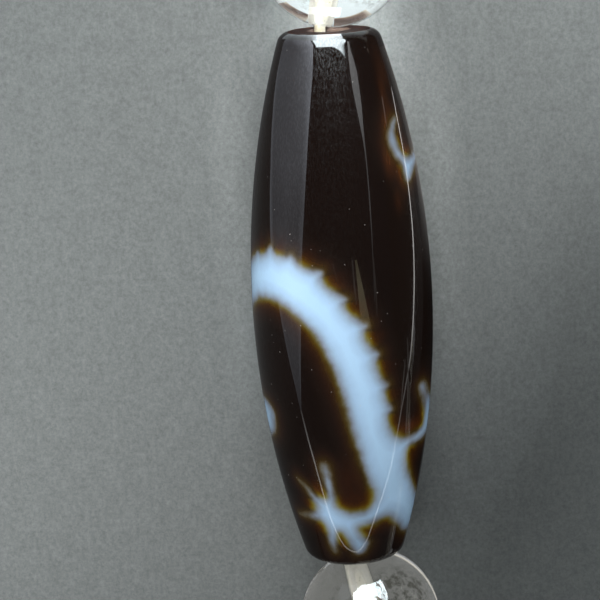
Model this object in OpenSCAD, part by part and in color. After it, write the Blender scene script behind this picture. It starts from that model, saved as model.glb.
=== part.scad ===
// Dzi bead bracelet: one long barrel-shaped stone bead and two rows of clear round
// beads on a closed loop of elastic cord, lying on its side as it does by itself.
// Millimetres, +Z up. The dzi bead lies along X at the front (-Y) of the loop. The
// origin is under the middle of the loop, on the surface that the beads rest on.

/* [Dzi bead] */
// Length of the dzi bead, along its hole
dzi_length = 38; // [34:0.5:42]
// Diameter of the dzi bead at the middle of its length, where it is widest
dzi_d = 12.8; // [12:0.1:13.6]
// Radius of the long arc that bows its sides
dzi_bow_r = 62; // [58:1:90]
// Radius that rounds the rim of each end
dzi_rim_r = 0.9; // [0.5:0.1:1]
// Diameter of its hole
dzi_hole_d = 2.4; // [2.3:0.1:2.8]

/* [Clear beads] */
// Diameter of a clear bead
crystal_d = 10.2; // [9.6:0.1:10.6]
// Diameter of its hole
crystal_hole_d = 1.3; // [1.2:0.1:1.6]
// Depth of the ground bevel round each mouth of its hole
crystal_bevel = 0.15; // [0.1:0.05:0.25]
// Number of clear beads on each side of the dzi bead
beads_a_side = 8; // [7:1:10]

/* [Elastic cord] */
// Diameter of the elastic cord
cord_d = 0.8; // [0.6:0.1:0.8]
// Largest diameter of its knot, which lies inside the dzi bead
knot_d = 1.8; // [1.2:0.1:1.8]
// Length of its knot
knot_length = 3.6; // [2:0.2:6]

/* [Loop] */
// Free gap between one bead and the next
bead_gap = 0.15; // [0.1:0.05:0.3]
// How far the clear bead next to the +X end sits behind the dzi bead's axis
right_set_back = 0.9; // [0.6:0.1:1.2]
// How far the clear bead next to the -X end sits behind the dzi bead's axis
left_set_back = 0.5; // [0.5:0.1:1.2]
// How far the cord lifts the clear beads next to the dzi bead off the surface
first_lift = 1.1; // [0.8:0.1:1.2]
// How much less each following bead is lifted
lift_step = 0.55; // [0.4:0.05:0.7]
// How gently the loop leaves the dzi bead: 1 turns at once, and more starts slower
ease = 1.2; // [1.1:0.05:1.3]

/* [Hidden] */
$fn = 96;

dzi_colour = [0.11, 0.06, 0.04];
crystal_colour = [0.86, 0.89, 0.90, 0.55];
cord_colour = [0.90, 0.87, 0.76];

dzi_half = dzi_length / 2;
dzi_r = dzi_d / 2;
crystal_r = crystal_d / 2;
crystals = 2 * beads_a_side;
pitch = crystal_d + bead_gap;

// The loop's plan, before it is centred: the dzi bead's axis is y = 0, and the bead
// next to its +X end is number 1. Along each row of clear beads the holes turn through
// half a circle. late sets how late they turn, and closes the loop at x = 0.
first_x = dzi_half + bead_gap + crystal_r;
latest = 2;
halvings = 30;
late = closing_late(0, latest, halvings);
row = row_offsets(beads_a_side);
row_depth = row[beads_a_side - 1].y;
far_y = max(left_set_back, right_set_back) + row_depth;
loop_mid_y = (far_y + crystal_r - dzi_r) / 2;
dzi_centre = [0, -loop_mid_y, dzi_r];

// The cord is a tube of rings with this many sides, and cord_play is the least room that
// it keeps to the wall of the dzi bead's hole.
cord_sides = 8;
cord_play = 0.15;
knot_ring_step = 0.25;

function crystal_name(i) = str("crystal_bead_", i < 10 ? "0" : "", i);
function unit(v) = v / norm(v);
function total(list, i = 0) = i < len(list) ? list[i] + total(list, i + 1) : 0;

// Heading of the hole of the clear bead that is number k from the dzi bead, in plan and in
// degrees from +X: near 0 beside the dzi bead, and near 180 at the back of the loop
function hole_heading(k, late) =
    let (
        done = pow(k - 0.5, ease),
        to_go = pow(late * (beads_a_side + 0.5 - k), ease)
    )
    180 * done / (done + to_go);

// Heading of the step from bead k to the next, which halves the turn between their holes
function step_heading(k, late) = (hole_heading(k, late) + hole_heading(k + 1, late)) / 2;

// How far past x = 0 the middle of the last step lies, from one row to the other
function overrun(late) =
    first_x - pitch / 2
    + pitch * total([for (k = [1 : beads_a_side - 1]) cos(step_heading(k, late))]);

function closing_late(low, high, left) =
    let (middle = (low + high) / 2)
    left == 0 ? middle
    : overrun(middle) < 0 ? closing_late(middle, high, left - 1)
    : closing_late(low, middle, left - 1);

// Plan offsets of the first count beads of a row, from the first bead
function row_offsets(count) =
    count == 1 ? [[0, 0]]
    : let (so_far = row_offsets(count - 1), h = step_heading(count - 1, late))
      concat(so_far, [so_far[count - 2] + pitch * [cos(h), sin(h)]]);

// The rows mirror each other in plan, but for their set-backs, and k counts the clear
// beads from the dzi bead on either side.
function on_right(i) = i <= beads_a_side;
function count_from_dzi(i) = on_right(i) ? i : crystals + 1 - i;

// Height of the centre of clear bead i, or of the dzi bead past either end of the rows
function height(i) =
    i < 1 || i > crystals ? dzi_r
    : crystal_r + max(0, first_lift - lift_step * (count_from_dzi(i) - 1));

function crystal_centre(i) =
    let (
        from_first = row[count_from_dzi(i) - 1],
        side = on_right(i) ? 1 : -1,
        set_back = on_right(i) ? right_set_back : left_set_back,
        y = set_back + from_first.y / row_depth * (far_y - set_back)
    )
    [side * (first_x + from_first.x), y - loop_mid_y, height(i)];

// Direction of the hole of clear bead i, along the loop, which slopes as the bead's
// neighbours do
function hole_direction(i) =
    let (
        k = count_from_dzi(i),
        h = hole_heading(k, late),
        reach = pitch + (k == 1 ? bead_gap + crystal_r : pitch),
        slope = (height(i + 1) - height(i - 1)) / reach
    )
    unit([cos(h), (on_right(i) ? 1 : -1) * sin(h), slope]);

// Centre of a mouth of the hole of clear bead i: end is -1 where the cord comes in and
// 1 where it leaves, and 0 gives the middle of the bead
function hole_point(i, end) = crystal_centre(i) + end * crystal_r * hole_direction(i);

// Where the cord leaves an end of the dzi bead: as near to level with the next bead's
// mouth as the dzi bead's hole lets it
function dzi_exit(side, mouth) =
    let (
        off = [0, mouth.y - dzi_centre.y, mouth.z - dzi_centre.z],
        room = (dzi_hole_d - cord_d) / 2 - cord_play
    )
    dzi_centre + [side * dzi_half, 0, 0] + off * min(1, room / norm(off));

// The cord's rings, each [centre, radius], once round the loop from the dzi bead's
// -X end: through the dzi bead with its knot, then through each clear bead.
cord_rings = concat(
    [[dzi_exit(-1, hole_point(crystals, 1)), cord_d / 2]],
    [for (s = [-1 : knot_ring_step : 1])
        [dzi_centre + [s * knot_length / 2, 0, 0],
         cord_d / 2 + (knot_d - cord_d) / 2 * (1 - s * s)]],
    [[dzi_exit(1, hole_point(1, -1)), cord_d / 2]],
    [for (i = [1 : crystals], end = [-1 : 1]) [hole_point(i, end), cord_d / 2]]
);

// Points of ring j: a polygon square to the cord's run there
function ring_points(j) =
    let (
        count = len(cord_rings),
        before = cord_rings[(j + count - 1) % count][0],
        at = cord_rings[j][0],
        after = cord_rings[(j + 1) % count][0],
        run = unit(unit(at - before) + unit(after - at)),
        side = unit(cross(run, [0, 0, 1])),
        up = cross(side, run)
    )
    [for (s = [0 : cord_sides - 1])
        at + cord_rings[j][1] * (cos(360 * s / cord_sides) * side + sin(360 * s / cord_sides) * up)];

// Half of the dzi bead's outline, with its axis along Y: a bowed side, two rounded
// rims that are tangent to it, and flat ends
module dzi_outline() {
    bow_x = dzi_r - dzi_bow_r;
    rim_y = dzi_half - dzi_rim_r;
    rim_x = bow_x + sqrt(pow(dzi_bow_r - dzi_rim_r, 2) - pow(rim_y, 2));
    tangent_y = rim_y * dzi_bow_r / (dzi_bow_r - dzi_rim_r);
    intersection() {
        translate([bow_x, 0]) circle(r = dzi_bow_r);
        translate([0, -tangent_y]) square([dzi_d, 2 * tangent_y]);
    }
    for (side = [-1, 1]) translate([rim_x, side * rim_y]) circle(r = dzi_rim_r);
    translate([0, -dzi_half]) square([rim_x, dzi_length]);
}

module dzi_bead() {
    color(dzi_colour) translate(dzi_centre) rotate([0, 90, 0]) difference() {
        rotate_extrude() dzi_outline();
        cylinder(d = dzi_hole_d, h = dzi_length + 2, center = true);
    }
}

// A ball drilled along Z, with a bevel ground round both mouths of the hole
module drilled_ball() {
    mouth_z = sqrt(pow(crystal_r, 2) - pow(crystal_hole_d / 2, 2));
    difference() {
        sphere(d = crystal_d);
        cylinder(d = crystal_hole_d, h = crystal_d + 2, center = true);
        for (end = [0, 180]) rotate([end, 0, 0]) translate([0, 0, mouth_z - crystal_bevel])
            cylinder(d1 = crystal_hole_d, d2 = crystal_hole_d + 4 * crystal_bevel, h = 2 * crystal_bevel);
    }
}

module crystal_bead(i) {
    along = hole_direction(i);
    color(crystal_colour) translate(crystal_centre(i))
        rotate([0, acos(along.z), atan2(along.y, along.x)]) drilled_ball();
}

module elastic_cord() {
    count = len(cord_rings);
    color(cord_colour) polyhedron(
        points = [for (j = [0 : count - 1]) each ring_points(j)],
        faces = [for (j = [0 : count - 1], s = [0 : cord_sides - 1])
            let (
                t = (s + 1) % cord_sides,
                here = j * cord_sides,
                next = (j + 1) % count * cord_sides
            )
            each [[here + s, here + t, next + t], [here + s, next + t, next + s]]]
    );
}

dzi_bead();
for (i = [1 : crystals]) crystal_bead(i);
elastic_cord();
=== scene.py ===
"""Looks of the dzi bead bracelet: a long dark agate bead with a bluish white figure, and
two rows of clear round beads on an elastic cord. Blender 4.5, metres, in the frame of the
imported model. The bracelet lies on its side, and the photograph looks down on the dzi bead.
"""
import math

import bpy
import numpy as np
from mathutils import Euler, Matrix, Vector


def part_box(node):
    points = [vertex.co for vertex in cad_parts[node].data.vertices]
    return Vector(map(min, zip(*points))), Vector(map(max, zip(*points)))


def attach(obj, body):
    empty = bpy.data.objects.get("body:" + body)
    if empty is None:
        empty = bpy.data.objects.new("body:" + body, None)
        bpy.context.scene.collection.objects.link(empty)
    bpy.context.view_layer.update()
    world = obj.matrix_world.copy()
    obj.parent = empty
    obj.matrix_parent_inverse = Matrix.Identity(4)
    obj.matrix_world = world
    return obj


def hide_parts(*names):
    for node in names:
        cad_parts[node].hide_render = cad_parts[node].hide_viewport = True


MM = 0.001

# The photograph: its size, the length of its lens in pixels, and where it shows the
# middle of the dzi bead
PHOTO_PX = 600
LENS_PX = 2111
DZI_MIDDLE_PX = (342.2, 297.7)
SENSOR_MM = 36.0
# The camera: its distance from the dzi bead's middle, how far it leans towards the bead's
# -X end from straight overhead, and how far the picture turns the bead's axis
CAMERA_DISTANCE = 150 * MM
CAMERA_LEAN = math.radians(13)
PICTURE_TURN = math.radians(2.9)

# The dzi bead's outline and hole, and the clear beads' holes, as the solids have them
BOW_RADIUS = 62 * MM
RIM_RADIUS = 0.9 * MM
DZI_HOLE_RADIUS = 1.2 * MM
HOLE_LIP = 0.18 * MM
CRYSTAL_HOLE_RADIUS = 0.65 * MM
CRYSTAL_BEVEL = 0.15 * MM
CRYSTALS = 16
# The middle of the dark tint in the clear bead at the dzi bead's +X end, painted shade for the dark things
# that bead shows through it, and where the tint ends and where it is full
PAINTED_DARK_AT_MM = (21.6, -19.2, 9.6)
PAINTED_DARK_REACH_MM = (3.2, 1.6)
CORD_RADIUS = 0.4 * MM
CORD_PLAY = 0.15 * MM
KNOT_RADIUS = 0.9 * MM
KNOT_LENGTH = 3.6 * MM
# The cord's strands: their number, the length of one turn, and how deep the grooves between
# them are as a share of the radius
CORD_STRANDS, STRAND_TURN, STRAND_GROOVE = 5, 7 * MM, 0.05
# How finely the pieces are meshed: points round each, and rings along its parts
DZI_AROUND, CRYSTAL_AROUND, CORD_AROUND = 288, 96, 20
DZI_SIDE_RINGS, DZI_RIM_RINGS, DZI_FACE_RINGS, DZI_LIP_RINGS, DZI_HOLE_RINGS = 262, 10, 7, 4, 6
CRYSTAL_RINGS, CRYSTAL_HOLE_RINGS = 60, 12
KNOT_RINGS, CORD_STEP = 9, 0.4 * MM
# The bow of the dzi bead's side runs this far from its middle, its white figure is softened
# over this width to find its notches, and the amber edge reaches about this far into the stone
DZI_RIM_ALONG_MM = 18.37
WHITE_EDGE_MM = 0.3
HALO_MM = 0.7
# A logistic curve this steep is close to a bell curve's running total
LOGISTIC_SLOPE = 1.702
# How far inside the end faces the pale lip of the dzi bead's hole begins, a painted highlight where light
# catches the lip, and how close two measures count as the same
LIP_DEPTH_MM = 0.2
TOUCH_MM = 0.01
SKIN_SLACK = 0.02 * MM
FAR_OFF, TINY = 1e9, 1e-12
AGATE_IOR, CRYSTAL_IOR = 1.54, 1.544
# A ray's depths are whole numbers: these tell none from one, and one from two
NONE_OR_ONE, ONE_OR_TWO = 0.5, 1.5


def linear(red, green, blue):
    """A screen colour of 0 to 255, as light."""
    def channel(value):
        value /= 255
        return value / 12.92 if value <= 0.04045 else ((value + 0.055) / 1.055) ** 2.4
    return (channel(red), channel(green), channel(blue), 1)


def shades(*rows):
    """Rows of (value, red, green, blue), with screen colours, for Finish.ramp."""
    return [(at, linear(*colour)) for at, *colour in rows]


class Finish:
    """A node material or world, with short calls for the nodes that the finishes use."""

    def __init__(self, name, store="materials"):
        self.owner = getattr(bpy.data, store).new(name)
        self.owner.use_nodes = True
        self.nodes = self.owner.node_tree.nodes
        self.links = self.owner.node_tree.links
        self.nodes.clear()

    def node(self, kind, inputs=None, **settings):
        made = self.nodes.new(kind)
        for key, value in settings.items():
            setattr(made, key, value)
        for key, value in (inputs or {}).items():
            if isinstance(value, bpy.types.NodeSocket):
                self.links.new(value, made.inputs[key])
            else:
                made.inputs[key].default_value = value
        return made

    def math(self, operation, a, b=0.0):
        return self.node("ShaderNodeMath", {0: a, 1: b}, operation=operation).outputs[0]

    def times(self, a, b):
        return self.math("MULTIPLY", a, b)

    def span(self, value, low, high, to_low=0.0, to_high=1.0, smooth=False):
        """value from low to high, as to_low to to_high, and held outside."""
        made = self.node("ShaderNodeMapRange", {"Value": value, "From Min": low, "From Max": high,
                                                "To Min": to_low, "To Max": to_high},
                         interpolation_type="SMOOTHSTEP" if smooth else "LINEAR")
        return made.outputs["Result"]

    def ramp(self, value, rows):
        """Colours along value, from rows of (value, colour)."""
        low, high = rows[0][0], rows[-1][0]
        made = self.node("ShaderNodeValToRGB", {"Fac": self.span(value, low, high)})
        stops = made.color_ramp.elements
        for at, colour in rows[1:-1]:
            stops.new((at - low) / (high - low)).color = colour
        stops[0].color, stops[-1].color = rows[0][1], rows[-1][1]
        return made.outputs["Color"]

    def mix(self, share, a, b, blend="MIX"):
        made = self.node("ShaderNodeMix", {0: share, 6: a, 7: b}, data_type="RGBA", blend_type=blend)
        return made.outputs[2]

    def place(self, stretch=(1, 1, 1)):
        """The point on the piece, in millimetres."""
        where = self.node("ShaderNodeTexCoord").outputs["Object"]
        scale = [factor / MM for factor in stretch]
        return self.node("ShaderNodeMapping", {"Vector": where, "Scale": scale}).outputs["Vector"]

    def distance(self, a, b):
        return self.node("ShaderNodeVectorMath", {0: a, 1: b}, operation="DISTANCE").outputs["Value"]

    def noise(self, where, scale, detail, rough=0.5):
        return self.node("ShaderNodeTexNoise", {"Vector": where, "Scale": scale, "Detail": detail,
                                                "Roughness": rough}).outputs["Fac"]

    def attribute(self, name):
        return self.node("ShaderNodeAttribute", attribute_name=name).outputs["Fac"]

    def bump(self, height, depth, strength):
        return self.node("ShaderNodeBump", {"Height": height, "Distance": depth,
                                            "Strength": strength}).outputs["Normal"]

    def rays(self):
        return self.node("ShaderNodeLightPath").outputs

    def principled(self, inputs):
        return self.node("ShaderNodeBsdfPrincipled", inputs).outputs["BSDF"]

    def through_crystal(self, path):
        """1 for a ray that comes through clear stone and has met nothing matt, else 0."""
        return self.times(path["Is Transmission Ray"],
                          self.math("LESS_THAN", path["Diffuse Depth"], NONE_OR_ONE))

    def close(self, shader, out="ShaderNodeOutputMaterial"):
        self.node(out, {"Surface": shader})
        return self.owner

    def close_clear(self, glass, shadow_colour):
        """The glass, with a shadow that light passes straight through in a colour."""
        clear = self.node("ShaderNodeBsdfTransparent", {"Color": shadow_colour}).outputs[0]
        return self.close(self.node("ShaderNodeMixShader", {0: self.rays()["Is Shadow Ray"], 1: glass,
                                                            2: clear}).outputs[0])


# The white figure on the dzi bead, charted in runs that join into closed outlines. Each
# row is (millimetres along the bead from its middle to +X, degrees round it from the top
# towards +Y). First, the band's outer edge over the front: the lead-in, then a tooth a row,
# each with its tip and the bottom of the notch after it
EDGE_LEAD_IN = [(-3.3, -92), (-3.6, -80), (-4, -70), (-4.4, -66)]
TEETH = [
    # tip along, tip round, notch along, notch round, notch end along, notch end round
    (-4.35, -63.5, -4.2, -61, -4.35, -57),
    (-5.1, -48.8, -4.4, -45, -4.38, -39),
    (-4.6, -30.5, -3.8, -25, -3.6, -19),
    (-3.45, -9.8, -2.75, -11.2, -2.1, -5.5),
    (-1.45, 4.8, -0.95, 1.9, -0.2, 6.4),
    (0.55, 17.6, 1.2, 12.9, 2, 16.4),
    (2.7, 24.6, 3.3, 20, 4.4, 23.5),
    (5, 29.4, 5.6, 26.4, 6.3, 28.4),
    (6.9, 33.5, 7.4, 28.6, 8.2, 30.8),
]
# The right side: under the stone's dark bay and up round its end, off to the back, and round
# the dark island below
RIGHT_SIDE = [(8.9, 35), (9.15, 41), (9.2, 50), (9.1, 58), (8.8, 65.5), (8.1, 64.5), (7.3, 61),
              (6.3, 55.5), (5.7, 54), (5.4, 58), (5.8, 67), (6.6, 75), (7.2, 84),
              (7.4, 120), (10.4, 120), (10.2, 84), (10.1, 60), (10.1, 50), (10.5, 47.5), (11.1, 48.2),
              (11.8, 51), (12.5, 56.5), (13.25, 63), (13.9, 72), (14.4, 84)]
# The palm's tip on the back, and its foot
PALM = [(14.8, 110), (15.6, 140), (16.2, 146), (16.8, 138), (17.7, 110), (17.7, 84), (17.3, 70),
        (17, 60), (16.65, 52), (16.1, 45), (15.6, 38), (15.3, 32), (15.4, 25), (15.65, 18),
        (15.75, 5.5), (16.35, 10.2), (16.8, 15), (17.05, 17.5), (17.5, 14.8), (17.95, 9), (18.05, 2),
        (17.85, -2)]
# The toes at the lower left, with the dark nicks between them, and the toe that points up
TOES = [(17.5, -4), (16.75, -9), (16.15, -12.8), (16.6, -15.6), (17.2, -17), (17.8, -19),
        (17.85, -22.5), (17.4, -26.5), (16.8, -28), (15.9, -28.3), (15.4, -32), (15.25, -42),
        (15.25, -50), (15.1, -60), (14.9, -52), (14.65, -42), (14.35, -36.8), (14, -34.8),
        (13.5, -36.5), (12.9, -40.5), (12, -48.5), (12.5, -38), (13, -33), (13.2, -27),
        (13.3, -22), (12.5, -21.8), (11.7, -23.2), (10.7, -24), (10.4, -20), (10.7, -15.4),
        (12.1, -14.2)]
# The lobe over the toes, and the band's inner edge back to the start
LOBE = [(13.1, -13.6), (13.9, -11.8), (14.2, -6), (14.35, 2), (14.25, 9), (13.95, 14.5), (13.5, 16.4),
        (12.9, 15.4)]
INNER_EDGE = [(12.3, 12.3), (11.3, 8.4), (10.4, 6), (8.7, 2), (6.9, -1.7), (5.1, -5), (3.4, -10),
              (2, -15), (0.9, -21.2), (0, -30.3), (-0.7, -40.3), (-1.05, -53), (-0.8, -65), (0, -77),
              (1.1, -92)]
# The band goes down the hidden side to a belt, which ends in a blunt tip at the left
BACK_BAND = [(-3.7, -62), (-3.6, -80), (-3, -100), (-1.2, -125), (1.6, -148), (5.2, -164), (8.6, -170),
             (9.4, -150), (8.2, -136), (5.4, -128), (3, -114), (1.2, -94), (0, -77), (-1.5, -62)]
BACK_BELT = [(7, 70), (7.5, 110), (7.3, 200), (6.4, 278), (6.6, 295), (7.1, 300), (7.8, 301.5),
             (8.5, 299.5), (9.2, 294), (9.8, 282), (10.5, 200), (10.4, 110), (9.9, 70)]
# The curl near the bead's upper right, and its tail
CURL = [(-13.2, 56), (-12.95, 50), (-12.4, 44.5), (-11.6, 42.3), (-10.9, 43.5), (-10.2, 49),
        (-9.7, 53.5), (-8.9, 54), (-8.4, 57), (-8.7, 63), (-9.3, 71), (-9.5, 84), (-9.4, 110),
        (-9.9, 128), (-10.4, 110), (-10.6, 84), (-10.4, 70), (-10.4, 61), (-10.9, 56.5), (-11.4, 54),
        (-12, 53.5), (-12.5, 55.5), (-12.8, 59.5), (-13.1, 61)]
# Soft spots on the skin. Each row is along, round, half length and half width in mm, and
# strength. First, where the stone lets a warmer brown through
BROWN_GLOW = [
    (-14.4, 50, 1.8, 0.5, 0.35), (-12.2, 45.5, 1.6, 0.5, 0.65), (-10.4, 42, 1.2, 0.55, 0.7),
    (-9.4, 51, 0.9, 0.5, 1), (-10.6, 64, 0.35, 0.9, 0.9), (-7.6, 46, 1, 0.5, 0.25),
    (-16.2, 57, 1.6, 0.7, 0.25), (-3.6, -20, 0.35, 1.1, 0.5), (-2.2, -7, 0.35, 0.9, 0.5),
    (1.8, 11.5, 0.3, 0.9, 0.25), (12.6, 1, 2.4, 1.1, 0.3), (8.6, 48, 0.5, 1.4, 0.7),
    (13, -30, 0.6, 0.8, 0.6),
]
# Where the white is thin and the stone shows through it, by the share of its depth lost
THIN_WHITE = [
    (10.9, -19.5, 1.2, 0.9, 0.45), (12.6, -44, 1, 1.2, 0.6), (14.8, -52, 0.9, 1.8, 0.85),
    (17.6, -22, 0.7, 0.8, 0.6), (-11.5, 48, 2, 1.5, 0.35), (6.7, 65, 1.6, 1.7, 0.7),
    (-4.6, -64, 0.4, 0.6, 0.5), (7.9, -66, 1.6, 1, 0.4),
]
# Where the white is greyer: at the curl and the tails the stone's own greyer white, and towards the bead's
# lower (+X) end painted shade, where the light falls off
WHITE_GREY_AND_PAINTED_SHADE = [
    (15.8, 52, 2.6, 2.8, 0.28), (12.6, 42, 2, 1.6, 0.16), (16.9, 6, 1.2, 1.6, 0.2),
    (16.8, -22, 1, 1.2, 0.15), (-12, 49, 1.5, 1.3, 0.4), (-9.6, 62, 1, 1.2, 0.2),
    (7.6, 66, 1.6, 1.2, 0.3), (7.9, -66, 1.6, 1.2, 0.35),
]
SPOT_FALL = 1.5
# How much each rounding cuts off the two ends of an outline's straight runs, and how often
CORNER_CUT, CORNER_CUTS = 0.2, 2
# The skin's screen colours by how many millimetres deep a point lies inside the white: along
# a straight edge, and in the notches that white lies round, where the amber is richer
PLAIN_EDGE = shades(
    (-2.5, 13, 7, 5), (-1.75, 16, 9, 6), (-1.3, 21, 13, 9), (-0.95, 25, 15, 10), (-0.7, 31, 18, 12),
    (-0.38, 40, 26, 13), (-0.15, 51, 37, 14), (-0.05, 62, 49, 26), (0.05, 82, 74, 57),
    (0.15, 103, 103, 100), (0.25, 118, 126, 137), (0.38, 134, 149, 166), (0.53, 146, 168, 191),
    (0.7, 157, 186, 213), (0.9, 166, 198, 228), (1.45, 178, 214, 244))
RICH_EDGE = shades(
    (-2, 30, 15, 9), (-1.3, 44, 21, 11), (-0.7, 46, 24, 9), (-0.53, 54, 29, 7), (-0.38, 63, 37, 6),
    (-0.25, 79, 53, 5), (-0.15, 95, 73, 10), (-0.05, 109, 94, 30), (0.05, 120, 114, 68),
    (0.15, 129, 132, 110), (0.25, 138, 147, 150), (0.38, 147, 163, 179), (0.53, 156, 179, 201),
    (0.9, 168, 200, 230), (1.45, 178, 214, 244))


def figure_outlines():
    """The closed outlines of the white figure, which overlap where they join."""
    front = list(EDGE_LEAD_IN)
    for tip_a, tip_r, notch_a, notch_r, end_a, end_r in TEETH:
        front += [(tip_a, tip_r), (notch_a, notch_r), (end_a, end_r)]
    return [front + RIGHT_SIDE + PALM + TOES + LOBE + INNER_EDGE, BACK_BAND, BACK_BELT, CURL]


def rounded(outline):
    """The outline with its corners cut, as rows of millimetres along and radians round."""
    rows = np.array(outline, float)
    rows[:, 1] = np.radians(rows[:, 1])
    rest = 1 - CORNER_CUT
    for _ in range(CORNER_CUTS):
        following = np.roll(rows, -1, axis=0)
        rows = np.stack([rest * rows + CORNER_CUT * following, CORNER_CUT * rows + rest * following], 1)
        rows = rows.reshape(-1, 2)
    return rows


def depth_in(outline, along, turn, radius):
    """How deep each point of the skin lies inside an outline, in millimetres, and less than
    0 outside it. A turn round the bead is scaled by the radius at the point."""
    best = np.full(along.shape, -FAR_OFF)
    for shift in (-2 * math.pi, 0, 2 * math.pi):
        around = turn + shift
        near = np.full(along.shape, FAR_OFF)
        inside = np.zeros(along.shape, bool)
        for (a0, r0), (a1, r1) in zip(outline, np.roll(outline, -1, axis=0)):
            da, dr = a1 - a0, (r1 - r0) * radius
            pa, pr = along - a0, (around - r0) * radius
            share = np.clip((pa * da + pr * dr) / (da * da + dr * dr + TINY), 0, 1)
            near = np.minimum(near, (pa - share * da) ** 2 + (pr - share * dr) ** 2)
            if a0 != a1:
                crosses = (a0 > along) != (a1 > along)
                inside ^= crosses & (around < r0 + (along - a0) / (a1 - a0) * (r1 - r0))
        best = np.maximum(best, np.where(inside, 1, -1) * np.sqrt(near))
    return best


class DziOutline:
    """The dzi bead's radius along its length: a bowed side and two rounded rims."""

    def __init__(self, low, high):
        self.half = (high.x - low.x) / 2
        self.radius = (high.z - low.z) / 2
        self.centre = (low + high) / 2
        self.bow_at = self.radius - BOW_RADIUS
        rim_along = self.half - RIM_RADIUS
        self.rim_at = self.bow_at + math.sqrt((BOW_RADIUS - RIM_RADIUS) ** 2 - rim_along ** 2)
        self.rim_along = rim_along
        self.tangent_along = rim_along * BOW_RADIUS / (BOW_RADIUS - RIM_RADIUS)

    def skin(self, along):
        """The radius at a point of the side or a rim, and how far the skin slopes outward and
        towards the bead's near end there, as a unit pair."""
        if abs(along) > self.tangent_along:
            off = math.copysign(abs(along) - self.rim_along, along)
            rise = math.sqrt(RIM_RADIUS ** 2 - off ** 2)
            return self.rim_at + rise, (rise / RIM_RADIUS, off / RIM_RADIUS)
        rise = math.sqrt(BOW_RADIUS ** 2 - along ** 2)
        return self.bow_at + rise, (rise / BOW_RADIUS, along / BOW_RADIUS)

    def profile(self):
        """Rows of (along, radius), once round the cut: side, rim, end face, lip and hole."""
        bow = [(a, self.bow_at + math.sqrt(BOW_RADIUS ** 2 - a * a))
               for a in np.linspace(-self.tangent_along, self.tangent_along, DZI_SIDE_RINGS)]
        start = math.atan2(self.tangent_along - self.rim_along, bow[-1][1] - self.rim_at)
        rim = [(self.rim_along + RIM_RADIUS * math.sin(t), self.rim_at + RIM_RADIUS * math.cos(t))
               for t in np.linspace(start, math.pi / 2, DZI_RIM_RINGS)][1:]
        face = [(self.half, r)
                for r in np.linspace(self.rim_at, DZI_HOLE_RADIUS + HOLE_LIP, DZI_FACE_RINGS)][1:]
        lip = [(self.half - HOLE_LIP * (1 - math.cos(t)), DZI_HOLE_RADIUS + HOLE_LIP * (1 - math.sin(t)))
               for t in np.linspace(0, math.pi / 2, DZI_LIP_RINGS)][1:]
        end = rim + face + lip
        hole_end = self.half - HOLE_LIP
        hole = [(a, DZI_HOLE_RADIUS) for a in np.linspace(hole_end, -hole_end, DZI_HOLE_RINGS)][1:-1]
        other_end = [(-a, r) for a, r in reversed(end)]
        return bow + end + hole + other_end


def ringed_mesh(name, points, around):
    """A smooth mesh of rings of points, each joined to the next and the last to the first."""
    points = points.reshape(-1, 3)
    count = len(points) // around
    ring, step = np.meshgrid(np.arange(count), np.arange(around), indexing="ij")
    after, beside = (ring + 1) % count, (step + 1) % around
    quads = np.stack([ring * around + step, after * around + step,
                      after * around + beside, ring * around + beside], -1).reshape(-1, 4)
    mesh = bpy.data.meshes.new(name)
    mesh.from_pydata(points.tolist(), [], quads.tolist())
    mesh.shade_smooth()
    return mesh


def lathe(name, profile, centre, around):
    """The profile turned about X through centre: the mesh, and each point's turn, place along
    and radius."""
    turns = np.linspace(0, 2 * math.pi, around, endpoint=False)
    along = np.array([a for a, _ in profile])
    radius = np.array([r for _, r in profile])
    points = np.stack([np.repeat(along[:, None], around, 1),
                       radius[:, None] * np.sin(turns),
                       radius[:, None] * np.cos(turns)], -1) + np.array(centre)
    return (ringed_mesh(name, points, around), np.tile(turns, len(profile)), np.repeat(along, around),
            np.repeat(radius, around))


def floats(mesh, name, values):
    mesh.attributes.new(name, "FLOAT", "POINT").data.foreach_set("value", values.astype(np.float32))


def linked(name, data):
    made = bpy.data.objects.new(name, data)
    bpy.context.scene.collection.objects.link(made)
    return made


def piece(name, mesh, *materials):
    made = linked(name, mesh)
    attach(made, "root")
    for material in materials:
        mesh.materials.append(material)
    return made


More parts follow.
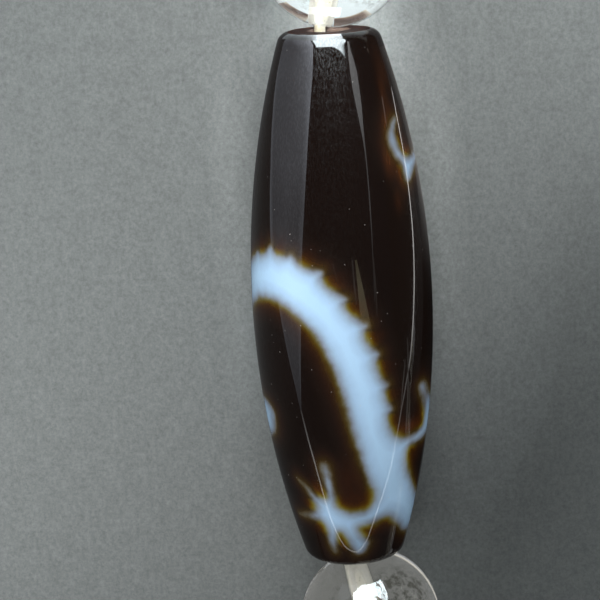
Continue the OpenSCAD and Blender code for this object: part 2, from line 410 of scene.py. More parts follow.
def dzi_material():
    """Polished agate: near-black brown, a bluish white figure with an amber edge, dust."""
    f = Finish("dzi_agate_polished")
    where = f.place()
    wobble = f.span(f.noise(where, 1.3, 3), 0.3, 0.7, -0.07, 0.07)
    depth = f.math("ADD", f.attribute("white_mm"), wobble)
    stone = f.mix(f.span(f.attribute("enclosed"), -0.02, 0.1), f.ramp(depth, PLAIN_EDGE),
                  f.ramp(depth, RICH_EDGE))
    streaks = f.noise(f.place((0.15, 1, 1)), 1.5, 4)
    glow = f.times(f.attribute("brown_glow"), f.span(streaks, 0.35, 0.7, 0.4, 1.0))
    stone = f.mix(f.span(depth, -0.35, -0.1), f.mix(glow, stone, linear(84, 44, 18)), stone)
    # The white made greyer: the stone's own grey at the curl and the tails, and painted shade towards the
    # lower end
    grey_and_painted_shade = f.times(f.attribute("white_grey_and_painted_shade"), f.span(depth, 0.0, 0.4))
    stone = f.mix(grey_and_painted_shade, stone, (0.3, 0.33, 0.36, 1), "MULTIPLY")
    specks = f.node("ShaderNodeTexVoronoi", {"Vector": where, "Scale": 1.9, "Randomness": 1.0})
    chosen = f.node("ShaderNodeSeparateColor", {"Color": specks.outputs["Color"]})
    speck = f.times(f.span(specks.outputs["Distance"], 0.1, 0.05), f.span(chosen.outputs["Red"], 0.7, 1.0))
    stone = f.mix(f.times(speck, 0.4), stone, linear(190, 185, 180))
    rough = f.span(f.noise(where, 0.4, 4), 0.3, 0.7, 0.012, 0.022)
    rough = f.math("ADD", rough, f.times(speck, 0.3))
    scratches = f.noise(f.place((1.5, 5, 5)), 2.2, 4, 0.7)
    return f.close(f.principled({
        "Base Color": stone,
        "Roughness": rough,
        "IOR": AGATE_IOR,
        "Coat Weight": f.span(scratches, 0.45, 0.7, 0.0, 0.55),
        "Coat Roughness": 0.24,
        "Normal": f.bump(scratches, 0.0005 * MM, 0.3),
    }))


def ground_material():
    """The dzi bead's sawn ends and drilled hole: the same stone, matt and a little redder, with a painted
    highlight on the lip of the hole.
    """
    f = Finish("dzi_agate_ground")
    grain = f.noise(f.place(), 3.5, 4)
    stone = f.ramp(grain, shades((0.3, 18, 8, 6), (0.5, 32, 15, 11), (0.62, 54, 30, 22), (0.8, 84, 50, 36)))
    # Painted highlight: the lip of the hole painted pale
    stone = f.mix(f.attribute("hole_lip_painted_highlight"), stone, linear(104, 88, 80))
    return f.close(f.principled({
        "Base Color": stone,
        "Roughness": f.span(grain, 0.3, 0.7, 0.55, 0.75),
        "Specular IOR Level": 0.08,
        "Normal": f.bump(grain, 0.02 * MM, 0.5),
    }))


def blurred(grid, across, wide):
    """A grid blurred by a bell curve: across and wide are its sizes in rows and columns. The
    columns join up round the bead."""
    for axis, size, beyond in ((0, across, "edge"), (1, wide, "wrap")):
        reach = int(3 * size)
        weights = np.exp(-0.5 * (np.arange(-reach, reach + 1) / size) ** 2)
        padded = np.pad(grid, [(reach, reach) if k == axis else (0, 0) for k in (0, 1)], mode=beyond)
        grid = sum(weight * padded.take(range(k, k + grid.shape[axis]), axis)
                   for k, weight in enumerate(weights / weights.sum()))
    return grid


def enclosed_by_white(depth, radius):
    """How much more white lies round each point of the side than along a straight edge."""
    rings, around = DZI_SIDE_RINGS, DZI_AROUND
    side = depth[:rings * around].reshape(rings, around)
    ring_step = 2 * DZI_RIM_ALONG_MM / rings
    white = np.clip(side / WHITE_EDGE_MM, -1, 1) * 0.5 + 0.5
    near = blurred(white, HALO_MM / ring_step, HALO_MM / (2 * math.pi * radius / around))
    straight = 1 / (1 + np.exp(-LOGISTIC_SLOPE * side / HALO_MM))
    out = np.zeros_like(depth)
    out[:rings * around] = (near - straight).reshape(-1)
    return out


def spots(rows, along, turn, radius):
    """The strongest of a list of soft spots on the bead's skin, at each point."""
    most = np.zeros_like(along)
    for at, degrees, half_long, half_wide, strength in rows:
        across = (turn - math.radians(degrees) + math.pi) % (2 * math.pi) - math.pi
        off = np.hypot((along - at) / half_long, across * radius / half_wide)
        most = np.maximum(most, strength * np.exp(-SPOT_FALL * off * off))
    return most


def dzi_bead(outline):
    mesh, turn, along, radius = lathe("dzi_bead_skin", outline.profile(), outline.centre, DZI_AROUND)
    along, radius = along / MM, radius / MM
    turn = (turn + math.pi) % (2 * math.pi) - math.pi
    depth = np.maximum.reduce([depth_in(rounded(o), along, turn, radius) for o in figure_outlines()])
    floats(mesh, "enclosed", enclosed_by_white(depth, outline.radius / MM))
    thin = 1 - spots(THIN_WHITE, along, turn, radius)
    floats(mesh, "white_mm", np.where(depth > 0, depth * thin, depth))
    floats(mesh, "brown_glow", spots(BROWN_GLOW, along, turn, radius))
    # Greyer white, partly painted shade towards the lower end
    floats(mesh, "white_grey_and_painted_shade", spots(WHITE_GREY_AND_PAINTED_SHADE, along, turn, radius))
    made = piece("dzi_bead_skin", mesh, dzi_material(), ground_material())
    from_face = outline.half / MM - abs(along)
    in_hole = radius < (DZI_HOLE_RADIUS + HOLE_LIP) / MM + TOUCH_MM
    # Where the painted highlight on the hole's lip goes
    floats(mesh, "hole_lip_painted_highlight", (from_face < LIP_DEPTH_MM) & in_hole)
    ground = ((from_face < TOUCH_MM) | in_hole)[::DZI_AROUND]
    ground &= np.roll(ground, -1)
    mesh.polygons.foreach_set("material_index", np.repeat(ground, DZI_AROUND).astype(np.int32))
    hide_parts("dzi_bead")


def crystal_material():
    """Rock crystal: clear, polished, with faint smoky veils in places, and a painted dark tint in the bead
    at the dzi bead's +X end.
    """
    f = Finish("rock_crystal_polished")
    where = f.place()
    smears = f.span(f.noise(where, 0.35, 4), 0.35, 0.75, 0.0, 0.03)
    patch = f.span(f.noise(where, 0.28, 1), 0.5, 0.62)
    # Painted shade: a dark tint in the clear bead at the dzi bead's +X end
    painted_dark = f.span(f.distance(where, PAINTED_DARK_AT_MM), *PAINTED_DARK_REACH_MM, smooth=True)
    patch = f.math("MAXIMUM", f.times(patch, 0.6), painted_dark)
    grains = f.span(f.noise(where, 1.5, 5, 0.7), 0.45, 0.58)
    tint = f.mix(f.times(patch, grains), (0.97, 0.985, 0.98, 1), (0.2, 0.2, 0.17, 1))
    glass = f.principled({
        "Base Color": tint,
        "Roughness": smears,
        "IOR": CRYSTAL_IOR,
        "Transmission Weight": 1.0,
        "Normal": f.bump(f.noise(where, 0.5, 2), 0.002 * MM, 0.3),
    })
    return f.close_clear(glass, (0.9, 0.91, 0.91, 1))


def bore_material():
    """The ground wall of a clear bead's hole, which scatters light."""
    f = Finish("rock_crystal_ground")
    where = f.place()
    glass = f.principled({
        "Base Color": (0.98, 0.95, 0.83, 1),
        "Roughness": f.span(f.noise(where, 6, 4), 0.3, 0.7, 0.25, 0.4),
        "IOR": CRYSTAL_IOR,
        "Transmission Weight": 0.35,
        "Normal": f.bump(f.noise(where, 9, 3), 0.006 * MM, 0.4),
    })
    return f.close_clear(glass, (0.85, 0.85, 0.84, 1))


def crystal_mesh(name, radius, centre, direction):
    """A drilled ball with a bevel round each mouth of its hole, turned about its hole."""
    start = math.asin((CRYSTAL_HOLE_RADIUS + CRYSTAL_BEVEL) / radius)
    side = [(-radius * math.cos(t), radius * math.sin(t))
            for t in np.linspace(start, math.pi - start, CRYSTAL_RINGS)]
    mouth = math.sqrt(radius ** 2 - CRYSTAL_HOLE_RADIUS ** 2) - CRYSTAL_BEVEL
    wall = [(a, CRYSTAL_HOLE_RADIUS) for a in np.linspace(mouth, -mouth, CRYSTAL_HOLE_RINGS)]
    mesh = lathe(name, side + wall, (0, 0, 0), CRYSTAL_AROUND)[0]
    turn = Vector((1, 0, 0)).rotation_difference(direction).to_matrix().to_4x4()
    mesh.transform(Matrix.Translation(centre) @ turn)
    is_hole = np.arange(len(mesh.polygons)) >= (CRYSTAL_RINGS - 1) * CRYSTAL_AROUND
    mesh.polygons.foreach_set("material_index", is_hole.astype(np.int32))
    return mesh


def crystals(frame):
    """All the clear beads. Returns each one's centre, the direction of its hole onward round
    the loop, and radius, taken from its solid: the vertices inside the ball lie along the hole."""
    clear, ground = crystal_material(), bore_material()
    facts = []
    for i in range(1, CRYSTALS + 1):
        name = f"crystal_bead_{i:02d}"
        low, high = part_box(name)
        centre = (low + high) / 2
        points = np.array([v.co for v in frame["nodes"][name].data.vertices]) - np.array(centre)
        away = np.linalg.norm(points, axis=1)
        radius = float(away.max())
        inner = points[away < radius - SKIN_SLACK]
        direction = Vector(np.linalg.svd(inner, full_matrices=False)[2][0])
        mesh = crystal_mesh(name + "_ball", radius, centre, direction)
        made = piece(name + "_ball", mesh, clear, ground)
        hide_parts(name)
        facts.append((centre, direction, radius))
    return [(centre, direction if direction.dot(after[0] - before[0]) > 0 else -direction, radius)
            for (centre, direction, radius), before, after in zip(facts, facts[:1] + facts,
                                                                  facts[1:] + facts[-1:])]


def cord_points(outline, beads):
    """The cord's line, once round the loop, with its radius at each point."""
    line = []
    for s in np.linspace(-1, 1, KNOT_RINGS):
        swell = (KNOT_RADIUS - CORD_RADIUS) * (1 - s * s)
        line.append((outline.centre + Vector((s * KNOT_LENGTH / 2, 0, 0)), CORD_RADIUS + swell))
    through = [centre + end * radius * onward for centre, onward, radius in beads for end in (-1, 0, 1)]
    play = DZI_HOLE_RADIUS - CORD_RADIUS - CORD_PLAY
    exits = []
    for side, mouth in ((1, through[0]), (-1, through[-1])):
        off = Vector((0, mouth.y - outline.centre.y, mouth.z - outline.centre.z))
        off *= min(1, play / off.length)
        exits.append(outline.centre + Vector((side * outline.half, 0, 0)) + off)
    return line + [(point, CORD_RADIUS) for point in (exits[0], *through, exits[1])]


def cord_material():
    """Elastic cord: many fine strands, milky and a little yellow."""
    f = Finish("elastic_strands")
    strand = f.noise(f.place(), 2.2, 3)
    return f.close(f.principled({
        "Base Color": f.ramp(strand, shades((0.3, 214, 205, 170), (0.55, 232, 226, 200),
                                            (0.75, 245, 242, 228))),
        "Roughness": f.span(strand, 0.3, 0.7, 0.3, 0.45),
        "IOR": 1.5,
        "Transmission Weight": 0.25,
        "Normal": f.bump(strand, 0.02 * MM, 0.5),
    }))


def cord(outline, beads):
    """A closed tube of twisted strands along the cord's line."""
    line = cord_points(outline, beads)
    places = np.array([point for point, _ in line])
    radii = np.array([radius for _, radius in line])
    rows, sizes = [], []
    for start, end, from_radius, to_radius in zip(places, np.roll(places, -1, 0), radii, np.roll(radii, -1)):
        parts = max(1, round(np.linalg.norm(end - start) / CORD_STEP))
        for share in np.arange(parts) / parts:
            rows.append(start + share * (end - start))
            sizes.append(from_radius + share * (to_radius - from_radius))
    rows, sizes = np.array(rows), np.array(sizes)
    for _ in range(2):
        rows = 0.5 * rows + 0.25 * (np.roll(rows, 1, 0) + np.roll(rows, -1, 0))
    run = np.roll(rows, -1, 0) - np.roll(rows, 1, 0)
    run /= np.linalg.norm(run, axis=1, keepdims=True)
    side = np.cross(run, (0, 0, 1.0))
    side /= np.linalg.norm(side, axis=1, keepdims=True)
    rise = np.cross(side, run)
    travelled = np.concatenate([[0], np.cumsum(np.linalg.norm(np.diff(rows, axis=0), axis=1))])
    length = travelled[-1] + np.linalg.norm(rows[0] - rows[-1])
    twist = round(length / STRAND_TURN) * 2 * math.pi * travelled[:, None] / length
    angle = np.linspace(0, 2 * math.pi, CORD_AROUND, endpoint=False)
    groove = STRAND_GROOVE * (0.5 + 0.5 * np.cos(CORD_STRANDS * angle - twist))
    reach = (sizes[:, None] * (1 - groove))[..., None]
    angle = angle[:, None]
    points = rows[:, None] + reach * (np.cos(angle) * side[:, None] + np.sin(angle) * rise[:, None])
    mesh = ringed_mesh("elastic_strands", points, CORD_AROUND)
    made = piece("elastic_strands", mesh, cord_material())
    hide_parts("elastic_cord")


def camera(outline):
    lean = Vector((-math.sin(CAMERA_LEAN), 0, math.cos(CAMERA_LEAN)))
    up = Vector((-math.cos(CAMERA_LEAN), 0, -math.sin(CAMERA_LEAN)))
    straight = Matrix((up.cross(lean), up, lean)).transposed()
    turned = straight @ Matrix.Rotation(-PICTURE_TURN, 3, "Z")
    middle = PHOTO_PX / 2
    seen = Vector(((DZI_MIDDLE_PX[0] - middle) / LENS_PX, (middle - DZI_MIDDLE_PX[1]) / LENS_PX, -1))
    aim = seen.rotation_difference(Vector((0, 0, -1))).to_matrix()
    made = linked("camera", bpy.data.cameras.new("camera"))
    made.data.sensor_width = SENSOR_MM
    made.data.lens = LENS_PX / PHOTO_PX * SENSOR_MM
    made.data.clip_start = 1 * MM
    made.matrix_world = (Matrix.Translation(outline.centre + CAMERA_DISTANCE * lean)
                         @ (turned @ aim).to_4x4())
    bpy.context.scene.camera = made


def mirrored(outline, along_mm, round_deg, reach):
    """The point, reach away, that the dzi bead mirrors to the camera at a place on its skin."""
    along, turn = along_mm * MM, math.radians(round_deg)
    radius, (out, forward) = outline.skin(along)
    sideways = Vector((0, math.sin(turn), math.cos(turn)))
    place = outline.centre + Vector((along, 0, 0)) + radius * sideways
    normal = out * sideways + Vector((forward, 0, 0))
    ray = (place - bpy.context.scene.camera.matrix_world.translation).normalized()
    return place + reach * ray.reflect(normal)


# A card has its dim colour up to the first of these radiances, and its own from the second
DIM_GLOW = (0.1, 0.6)


def glow_material(name, colour, dim_colour):
    """Light as strong as the mesh's own glow says, and of dim_colour where that is low. It
    stays out of what one polished piece shows in another, and lights nothing matt."""
    f = Finish(name)
    glow = f.attribute("glow")
    path = f.rays()
    shown = f.times(f.math("LESS_THAN", path["Glossy Depth"], ONE_OR_TWO),
                    f.math("LESS_THAN", path["Diffuse Depth"], NONE_OR_ONE))
    shade = f.mix(f.span(glow, *DIM_GLOW), (*dim_colour, 1), (*colour, 1)) if dim_colour else (*colour, 1)
    light = f.node("ShaderNodeEmission", {"Color": shade, "Strength": f.times(glow, shown)})
    return f.close(light.outputs[0])


def card(name, rungs, glows, colour, seen_by="glossy", dim_colour=None):
    """A glowing card of the studio, seen only by one kind of ray. Each rung is a row of
    points across the card, and glows holds a radiance for each point."""
    wide = len(rungs[0])
    quads = [(i * wide + j, i * wide + j + 1, (i + 1) * wide + j + 1, (i + 1) * wide + j)
             for i in range(len(rungs) - 1) for j in range(wide - 1)]
    mesh = bpy.data.meshes.new(name)
    mesh.from_pydata([tuple(point) for rung in rungs for point in rung], [], quads)
    floats(mesh, "glow", np.array(glows, float).reshape(-1))
    mesh.materials.append(glow_material(name, colour, dim_colour))
    made = linked(name, mesh)
    made.visible_camera = made.visible_shadow = made.visible_diffuse = False
    made.visible_glossy = seen_by == "glossy"
    made.visible_transmission = seen_by == "transmission"


# What the dzi bead mirrors. Each row starts with the millimetres along the bead, and goes on
# with places across a card's mirror image, as (degrees round the bead, radiance there).
LEFT_BOARD = [
    (-18.85, (-70.5, 0.6), (-66, 0.55), (-48, 0.75), (-28, 2.4), (-20, 6.5)),
    (-18.4, (-63, 0.55), (-59, 0.45), (-42, 0.8), (-26, 2.6), (-17.6, 5.2)),
    (-16.6, (-62.5, 0.7), (-58, 0.5), (-40, 0.9), (-24, 1.6), (-17.2, 2.6)),
    (-13.6, (-57.5, 0.8), (-54, 0.5), (-37, 0.8), (-23.5, 1.2), (-19.1, 2.3)),
    (-10.4, (-53.3, 0.8), (-50, 0.5), (-36, 0.8), (-24.5, 0.9), (-20.8, 1.5)),
    (-7.6, (-51.2, 0.9), (-48, 0.42), (-36, 0.6), (-26, 0.6), (-22.4, 0.95)),
    (-4.8, (-49.3, 0.8), (-46, 0.4), (-36, 0.6), (-27.5, 0.52), (-24.3, 0.95)),
    (-1.1, (-43.8, 0.7), (-41, 0.4), (-34, 0.52), (-28.5, 0.5), (-26, 0.85)),
    (1.7, (-39.9, 0.6), (-38, 0.45), (-34, 0.5), (-30, 0.5), (-28, 0.8)),
    (4.9, (-35.1, 0.5), (-34, 0.4), (-33, 0.4), (-31.7, 0.4), (-30.6, 0.7)),
    (6.9, (-32.8, 0.3), (-32.7, 0.3), (-32.6, 0.3), (-32.5, 0.3), (-32.4, 0.3)),
]
LEFT_FLAG = [
    (-18.85, (-100, 0.1), (-71, 0.1)), (-18.4, (-100, 0.12), (-64, 0.1)),
    (-12, (-100, 0.14), (-56, 0.1)), (-5.4, (-100, 0.14), (-50.5, 0.08)),
    (1.7, (-100, 0.1), (-40, 0.08)), (6.9, (-100, 0.08), (-33, 0.05)), (12, (-100, 0.08), (-34, 0.05)),
    (18.6, (-100, 0.08), (-40, 0.05)),
]
RIGHT_STREAK = [
    (-18.5, (19.8, 4), (21, 3)), (-18, (19.4, 3.2), (21.9, 2.2)), (-17.4, (18.6, 2.6), (23.5, 1.9)),
    (-16.5, (18.2, 2.2), (25, 1.9)), (-15.3, (18.5, 2), (24.8, 1.9)), (-14, (19.8, 1.9), (24.3, 1.9)),
    (-12.9, (20.9, 1.7), (23.4, 1.5)), (-11.8, (21.8, 1.2), (23, 1.1)), (-10.4, (22, 0.9), (22.8, 0.9)),
    (-7.6, (21.3, 0.9), (22.1, 0.8)), (-4.8, (20.6, 0.4), (21.2, 0.4)), (-1, (19.8, 0.2), (20.4, 0.2)),
]
RIGHT_BOARD = [
    (-18.8, (68, 0.3), (74, 0.4), (78, 0.5), (84, 0.4), (100, 0.3)),
    (-13.6, (62.5, 0.25), (71, 0.3), (75, 0.5), (84, 0.4), (100, 0.3)),
    (-10.4, (60, 0.1), (70, 0.2), (73.5, 1), (84, 0.9), (100, 0.6)),
    (-7.6, (58.5, 0.12), (70, 0.12), (74, 1), (84, 0.95), (100, 0.6)),
    (-4.8, (56.5, 0.08), (71, 0.1), (76, 0.2), (84, 0.25), (100, 0.2)),
    (-1, (53, 0.05), (70, 0.03), (78, 0.03), (84, 0.03), (100, 0.03)),
    (6, (46, 0.03), (70, 0.02), (78, 0.02), (84, 0.02), (100, 0.02)),
    (18.6, (46, 0.03), (70, 0.02), (78, 0.02), (84, 0.02), (100, 0.02)),
]
RIGHT_FLAG = [
    (-18.8, (42, 0.05), (64, 0.05)), (-13.6, (38, 0.05), (60, 0.05)), (-7.6, (34, 0.05), (56, 0.05)),
    (-1, (32, 0.05), (50, 0.05)), (5, (32, 0.05), (43, 0.05)), (9, (32, 0.05), (36, 0.05)),
]
SMALL_WEDGE = [
    (-4, (9, 0.6), (10.2, 0.6)), (-2, (9.8, 0.9), (13.2, 0.9)), (-0.3, (10.4, 0.75), (15.6, 0.75)),
    (0.6, (10.9, 0.5), (17, 0.45)), (1.3, (12, 0.2), (17.4, 0.15)),
]
# Faint narrow lines beside the wedge and in the right flag
FAINT_LINES = [
    [(-4, 7.4, 0.3), (-2.2, 7.9, 0.35), (-0.9, 8.5, 0.15)],
    [(-3.8, -4.6, 0.2), (-2.7, -2.8, 0.15)],
    [(-4.1, 20.8, 0.3), (-2, 21.2, 0.3), (0.1, 21.2, 0.12)],
    [(2, 43.2, 0.25), (5.5, 43.8, 0.45), (9, 43.4, 0.35)],
    [(3.5, 41, 0.25), (5.2, 39.2, 0.45), (7, 37.8, 0.25)],
]
TOP_LAMP = [
    # round and along at the lamp's lower edge, round and along at its upper edge
    (-14.3, -18.24, -17.5, -18.86), (-8.1, -18.27, -10.5, -18.88), (-3.6, -18.27, -4.5, -18.88),
    (1.4, -18.24, 1.8, -18.88), (6.8, -18.1, 8.8, -18.86), (12, -17.81, 14.5, -18.75),
    (15.4, -17.45, 18.5, -18.53),
]
LAMP_RADIANCE = 20
# How much of the lamp's radiance is left at its lower edge, one value a row
LAMP_LOWER_EDGE = (1, 1, 1, 1, 1, 0.75, 0.12)
# The lamp and the left board again, where the rim mirrors what is close by: a card between
# the dzi bead and the clear bead at its -X end
RIM_CARD = [
    (-18.975, (-68, 0.5), (-48, 0.9), (-30, 1.6), (-21, 3), (-15.2, 6), (-14, 9), (0, 9), (15, 7),
     (16.2, 0.4)),
    (-18.9, (-68, 0.6), (-48, 0.9), (-30, 1.9), (-21, 4), (-15.2, 9), (-14, 14), (0, 14), (15, 10),
     (16.2, 0.4)),
    (-18.66, (-68, 0.6), (-48, 0.9), (-29, 2.1), (-21, 4.4), (-15.2, 12), (-14, 20), (0, 20), (15, 14),
     (16.2, 0.4)),
]
# The right edge, which mirrors what is low and close by
RIGHT_EDGE = [
    (-17.8, (66, 0.15), (88, 0.2)), (-13.4, (70, 0.15), (88, 0.2)), (-10.5, (72, 0.18), (89, 0.24)),
    (-8.7, (73, 0.18), (89, 0.24)), (-7.6, (71, 0.16), (88, 0.2)), (-4.9, (67, 0.08), (86, 0.1)),
    (-2.5, (63, 0.02), (86, 0.03)), (0, (61, 0.01), (84, 0.01)), (5, (55, 0.01), (80, 0.01)),
    (12, (46, 0.01), (74, 0.01)), (18, (44, 0.01), (70, 0.01)),
]
# Lines of even width that the bead mirrors: the bright rim of the table, down its right side,
# round its lower end and up its left, and a short line. Each row is (along, round, radiance).
TABLE_RIM = [
    (-18, 70, 1.5), (-16.9, 68.5, 2.2), (-15, 64, 3), (-13.2, 60.7, 4.4), (-9.4, 58.1, 4.6),
    (-5.8, 55.6, 4.4), (-3, 53.1, 4), (-0.5, 50.5, 3.8), (2, 47.6, 2.8), (3.5, 45.6, 1.9),
    (5, 42.5, 0.9), (7, 38.5, 0.8), (9.4, 34.5, 1.5), (11.4, 31.3, 2.8), (13, 26.8, 3.4),
    (14.5, 21.5, 3.2), (15.6, 17.6, 2.8), (16.6, 13.5, 2.6), (17.3, 8.5, 2.6), (17.7, 2.4, 2.6),
    (17.6, -4, 2.6), (17.2, -10.5, 2.8), (16.6, -14.5, 3), (15.9, -17.4, 3.4), (15, -20.3, 4),
    (13.6, -23, 3.6), (12, -25.2, 2.8), (10.4, -27.4, 2.6), (9, -29.6, 1.8), (7.6, -31.4, 1),
    (6.7, -32.6, 0.6),
]
SHORT_LINE = [(-17.9, 42.4, 0.8), (-16.3, 47.6, 1.6), (-15, 47, 1.2), (-13.8, 46, 1.2),
              (-12.6, 44.8, 0.6)]
LINE_HALF_WIDTH_MM = 0.055
# How far the cards and lines are from the skin that mirrors them
LAMP_REACH, CARD_REACH, LINE_REACH, EDGE_REACH, RIM_REACH = [
    distance * MM for distance in (600, 15, 13.5, 5, 0.5)]
# What each card and line is made of: name, rows, colour and, where it isn't the usual one, reach
CARDS = [
    ("rim_card", RIM_CARD, (0.88, 0.98, 1.03), RIM_REACH),
    ("right_edge", RIGHT_EDGE, (1.0, 0.98, 0.95), EDGE_REACH),
    ("left_board", LEFT_BOARD, (0.92, 1.0, 1.12)),
    ("left_flag", LEFT_FLAG, (0.95, 1.0, 1.0)),
    ("right_streak", RIGHT_STREAK, (0.97, 1.0, 1.02)),
    ("right_board", RIGHT_BOARD, (1.0, 0.99, 0.97)),
    ("right_flag", RIGHT_FLAG, (1.0, 0.9, 0.8)),
    ("small_wedge", SMALL_WEDGE, (1.0, 0.92, 0.6)),
]
LINES = [
    ("table_rim", TABLE_RIM, (1.0, 0.99, 0.97)),
    ("short_line", SHORT_LINE, (1.0, 0.85, 0.75)),
    *[(f"faint_line_{k}", rows, (1.0, 0.97, 0.92)) for k, rows in enumerate(FAINT_LINES, 1)],
]
LAMP_COLOUR = (0.86, 0.98, 1.03)


def mirrored_card(outline, name, rows, colour, reach=CARD_REACH):
    rungs = [[mirrored(outline, row[0], turn, reach) for turn, _ in row[1:]] for row in rows]
    card(name, rungs, [[glow for _, glow in row[1:]] for row in rows], colour)


def mirrored_line(outline, name, rows, colour):
    """A thin card whose mirror image is a line of even width through the rows."""
    per_degree = math.radians(1) * outline.radius / MM
    places = np.array([(along, turn * per_degree) for along, turn, _ in rows])
    run = np.gradient(places, axis=0)
    run /= np.linalg.norm(run, axis=1, keepdims=True)
    across = np.stack([-run[:, 1], run[:, 0]], 1) * LINE_HALF_WIDTH_MM
    rungs = [[mirrored(outline, along, arc / per_degree, LINE_REACH) for along, arc in pair]
             for pair in zip(places - across, places + across)]
    card(name, rungs, [(row[2], row[2]) for row in rows], colour)


# The soft boxes, which light only matt surfaces and stand round the dzi bead: name, degrees
# round from +X, degrees up, and power in watts. Their distance, size and spread are the same.
SOFT_BOXES = [
    ("right_box", 90, 10, 0.070),
    ("left_box", 270, 35, 0.061),
    ("top_box", 180, 50, 0.051),
]
SOFT_BOX_AWAY, SOFT_BOX_SIZE, SOFT_BOX_SPREAD_DEG = 110 * MM, 50 * MM, 180
# The boxes with a grid: name, place and aim in millimetres, size, spread and power
GRID_BOXES = [
    ("front_grid_box", (16, -44, 60), (-19, -90, 0), 50, 128, 0.0197),
    ("rear_grid_box", (-52, 9, 74), (-42, -9, 0), 60, 40, 0.0122),
    ("crystal_grid_box", (-56, -22, 44), (-24, -22, 6), 6, 10, 0.0008),
]


def light_box(name, place, aim, size, spread_deg, power):
    lamp = bpy.data.lights.new(name, "AREA")
    lamp.size, lamp.energy = size, power
    lamp.spread = math.radians(spread_deg)
    made = linked(name, lamp)
    made.location = place
    made.rotation_euler = (aim - place).to_track_quat("-Z", "Y").to_euler()
    made.visible_camera = made.visible_glossy = made.visible_transmission = False


# The paper has light and shade painted into it: painted light along the dzi bead's shadow, which makes that
# shadow fainter, and painted shade that darkens it gently towards one corner of the studio: degrees from +X,
# and millimetres from the dzi bead's axis
PAPER_PALE, PAPER_PALE_MM = 0.4, (7.6, 9.6)
PAPER_PALE_FROM_MM, PAPER_PALE_UNTIL_MM = (-20, -9), (0, 16)
# Painted shade along X: millimetres, and how bright the paper is painted there, darker towards -X
PAPER_ALONG_MM, PAPER_ALONG = (-21, 18), (0.88, 1.05)
PAPER_DARKENS_TOWARDS_DEG = 56
PAPER_DARKENS_MM, PAPER_DARKENS_TO = (10, 21), 0.62
# Away from the dzi bead the paper glows evenly pale to the camera, painted light, and outside the loop the
# camera sees it without the boxes' light: millimetres from the bead, and radiance
PAPER_EVENS_MM, PAPER_EVENS = (34, 85), (0.0, 0.22)
PAPER_UNLIT_MM = (60, 96)
PAPER_DARK, PAPER_LIGHT = (0.112, 0.121, 0.119, 1), (0.218, 0.234, 0.229, 1)
PAPER_MIRRORED = (0.05, 0.05, 0.05, 1)
FLOOR_REACH = 2.0
# How bright clear beads show the floor outside the loop, which brightens away from it: the floor glows
# there, painted light for the light the beads gather
FLOOR_BRIGHTENS_MM, FLOOR_THROUGH_CRYSTAL = (-32.5, -27.5), (0.9, 0.22)


def floor(behind_mm):
    """Pale grey paper, which polished stone mirrors darker than it is, with light and shade painted into it.
    The dzi bead's axis runs along X at behind_mm."""
    mesh = bpy.data.meshes.new("floor")
    far = FLOOR_REACH
    mesh.from_pydata([(-far, -far, 0), (far, -far, 0), (far, far, 0), (-far, far, 0)], [], [(0, 1, 2, 3)])
    f = Finish("floor_paper")
    place = f.place()
    where = f.node("ShaderNodeSeparateXYZ", {"Vector": place}).outputs
    tone = f.ramp(f.noise(place, 2.6, 5, 0.9), [(0.3, PAPER_DARK), (0.7, PAPER_LIGHT)])
    turn = math.radians(PAPER_DARKENS_TOWARDS_DEG)
    beside = f.math("SUBTRACT", where["Y"], behind_mm)
    onward = f.math("ADD", f.times(where["X"], math.cos(turn)), f.times(beside, math.sin(turn)))
    # Painted light along the dzi bead's shadow
    pale = f.times(f.span(where["X"], *PAPER_PALE_FROM_MM, smooth=True),
                   f.span(where["X"], *PAPER_PALE_UNTIL_MM, PAPER_PALE, 0.0, smooth=True))
    pale = f.times(pale, f.span(f.math("ABSOLUTE", beside), *PAPER_PALE_MM, 1.0, 0.0))
    # Painted shade: darker towards one corner, and along X
    graded = f.times(f.span(onward, *PAPER_DARKENS_MM, 1.0, PAPER_DARKENS_TO),
                     f.span(where["X"], *PAPER_ALONG_MM, *PAPER_ALONG))
    graded = f.times(graded, f.math("ADD", pale, 1.0))
    graded = f.times(graded, f.span(f.noise(place, 0.8, 2), 0.3, 0.7, 0.94, 1.06))
    tone = f.mix(1.0, tone, f.node("ShaderNodeCombineColor", {0: graded, 1: graded, 2: graded}).outputs[0],
                 "MULTIPLY")
    path = f.rays()
    tone = f.mix(path["Is Glossy Ray"], tone, PAPER_MIRRORED)
    # Painted light: the floor glows where clear beads show it
    seen = f.span(where["Y"], *FLOOR_BRIGHTENS_MM, *FLOOR_THROUGH_CRYSTAL, smooth=True)
    away = f.distance(place, (0, behind_mm, 0))
    # Painted light: to the camera the paper glows evenly pale away from the dzi bead, and outside the loop
    # shows only that glow
    even = f.times(f.span(away, *PAPER_EVENS_MM, *PAPER_EVENS, smooth=True), path["Is Camera Ray"])
    unlit = f.times(f.span(away, *PAPER_UNLIT_MM, smooth=True), path["Is Camera Ray"])
    tone = f.mix(unlit, tone, (0, 0, 0, 1))
    paper = f.principled({
        "Base Color": tone,
        "Roughness": 0.8,
        "Specular IOR Level": 0.2,
        "Emission Color": f.mix(path["Is Camera Ray"], (1.0, 0.93, 0.78, 1), (0.93, 1.0, 0.98, 1)),
        "Emission Strength": f.math("ADD", f.times(f.through_crystal(path), seen), even),
    })
    mesh.materials.append(f.close(paper))
    linked("floor", mesh)


# The floor that the clear beads gather light on: its radiance under the one at the dzi bead's
# -X end and the one at its +X end, how fast it fades between them, how far it reaches to each
# side, and the height of its card
GATHERED_FROM, GATHERED_TO, GATHERED_FADE = 1.05, 0.14, 4
GATHERED_REACH, GATHERED_HEIGHT = 8 * MM, 0.05 * MM


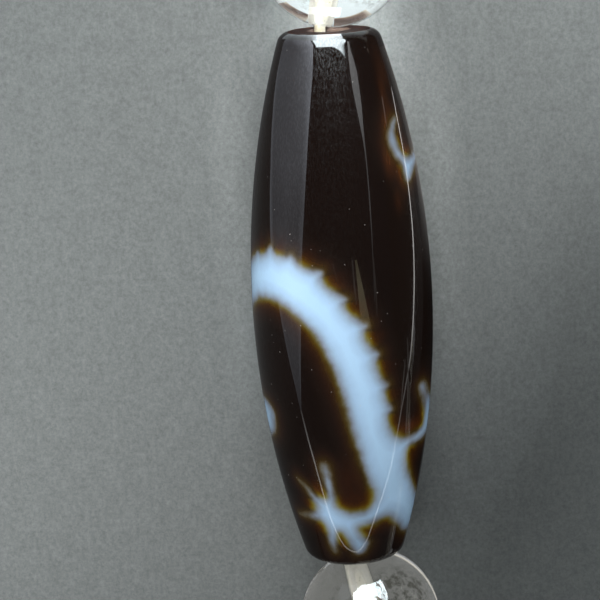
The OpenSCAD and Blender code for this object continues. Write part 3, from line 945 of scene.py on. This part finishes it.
def gathered_light(beads):
    """The light that the clear beads gather on the floor under them, seen only through them."""
    path = [Vector((*centre[:2], GATHERED_HEIGHT)) for centre, _, _ in beads]
    ways = [Vector((*onward[:2], 0)).normalized() for _, onward, _ in beads]
    path = [path[0] - GATHERED_REACH * ways[0], *path, path[-1] + GATHERED_REACH * ways[-1]]
    rungs, glows = [], []
    for k, (point, way) in enumerate(zip(path, [ways[0], *ways, ways[-1]])):
        across = GATHERED_REACH * Vector((way.y, -way.x, 0))
        done = min(max((k - 1) / (len(beads) - 1), 0), 1)
        glow = GATHERED_TO + (GATHERED_FROM - GATHERED_TO) * done ** GATHERED_FADE
        rungs.append([point - across, point + across])
        glows.append((glow, glow))
    card("gathered_light", rungs, glows, (0.88, 0.98, 1.0), "transmission", (1.0, 1.0, 0.92))


# The dzi bead's brown, as the clear bead at its -X end shows it: two small upright cards
# under the middle of that bead, seen edge-on from above. Each row is the millimetres across,
# and radiances at the heights.
GLEAM_ALONG_MM, GLEAM_HEIGHTS_MM = -0.15, (0.02, 0.2, 0.48, 0.95)
BROWN_GLEAMS = [
    [(0.6, 1.0, 0.8, 0.2, 0.5), (0.54, 0.9, 0.35, 0.1, 0.3), (0.44, 0.5, 0.1, 0.1, 0.3),
     (0.36, 0.18, 0.07, 0.16, 0.6), (0.27, 0.18, 0.08, 0.3, 0.8), (0.24, 0.8, 0.6, 0.7, 0.9)],
    [(0.03, 0.5, 0.1, 0.12, 0.3), (-0.07, 0.8, 0.2, 0.09, 0.16), (-0.16, 0.8, 0.25, 0.1, 0.18),
     (-0.22, 0.6, 0.3, 0.22, 0.4), (-0.27, 1.0, 0.9, 0.85, 0.9)],
]


def brown_gleams(centre):
    for k, rows in enumerate(BROWN_GLEAMS, 1):
        rungs = [[Vector((centre.x + GLEAM_ALONG_MM * MM, centre.y + row[0] * MM, height * MM))
                  for height in GLEAM_HEIGHTS_MM] for row in rows]
        card(f"brown_gleam_{k}", rungs, [row[1:] for row in rows], (1.0, 0.93, 0.76), "transmission",
             (1.0, 0.6, 0.42))


# The room's radiance: for matt surfaces, in polished stone, through crystal, to the camera
ROOM_MATT, ROOM_MIRRORED, ROOM_THROUGH, ROOM_SEEN = 0.055, 0.05, 0.6, 0.42
ROOM_BLUE = 1.02


def room():
    """A plain room: pale where it is seen, dim in the polished stone and to matt surfaces."""
    f = Finish("room", "worlds")
    path = f.rays()

    def background(radiance):
        colour = (radiance, radiance, ROOM_BLUE * radiance, 1)
        return f.node("ShaderNodeBackground", {"Color": colour}).outputs[0]

    shown = background(ROOM_MATT)
    for kind, radiance in ((path["Is Glossy Ray"], ROOM_MIRRORED), (f.through_crystal(path), ROOM_THROUGH),
                           (path["Is Camera Ray"], ROOM_SEEN)):
        shown = f.node("ShaderNodeMixShader", {0: kind, 1: shown, 2: background(radiance)}).outputs[0]
    bpy.context.scene.world = f.close(shown, "ShaderNodeOutputWorld")
    bpy.context.scene.view_settings.view_transform = "Standard"


def studio(outline, beads):
    """The floor, the room, the soft boxes, and the cards that the polished pieces mirror."""
    floor(outline.centre.y / MM)
    room()
    gathered_light(beads)
    brown_gleams(beads[-1][0])
    lamp = [[mirrored(outline, low, turn_low, LAMP_REACH), mirrored(outline, high, turn_high, LAMP_REACH)]
            for turn_low, low, turn_high, high in TOP_LAMP]
    lamp_glows = [(LAMP_RADIANCE * share, LAMP_RADIANCE) for share in LAMP_LOWER_EDGE]
    card("top_lamp", lamp, lamp_glows, LAMP_COLOUR)
    for row in CARDS:
        mirrored_card(outline, *row)
    for row in LINES:
        mirrored_line(outline, *row)
    under = Vector((*outline.centre[:2], 0))
    for name, round_deg, up_deg, power in SOFT_BOXES:
        away = Vector((SOFT_BOX_AWAY, 0, 0))
        away.rotate(Euler((0, -math.radians(up_deg), math.radians(round_deg))))
        light_box(name, under + away, under, SOFT_BOX_SIZE, SOFT_BOX_SPREAD_DEG, power)
    for name, place, aim, size, spread, power in GRID_BOXES:
        light_box(name, MM * Vector(place), MM * Vector(aim), size * MM, spread, power)


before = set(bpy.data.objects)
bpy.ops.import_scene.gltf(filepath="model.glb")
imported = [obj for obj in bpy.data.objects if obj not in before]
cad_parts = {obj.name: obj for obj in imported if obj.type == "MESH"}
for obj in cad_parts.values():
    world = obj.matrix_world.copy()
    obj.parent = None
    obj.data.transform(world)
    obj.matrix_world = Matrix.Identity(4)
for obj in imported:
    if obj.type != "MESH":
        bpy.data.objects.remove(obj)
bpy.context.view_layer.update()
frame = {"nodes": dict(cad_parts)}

dzi = DziOutline(*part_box("dzi_bead"))
camera(dzi)
dzi_bead(dzi)
beads = crystals(frame)
cord(dzi, beads)
studio(dzi, beads)
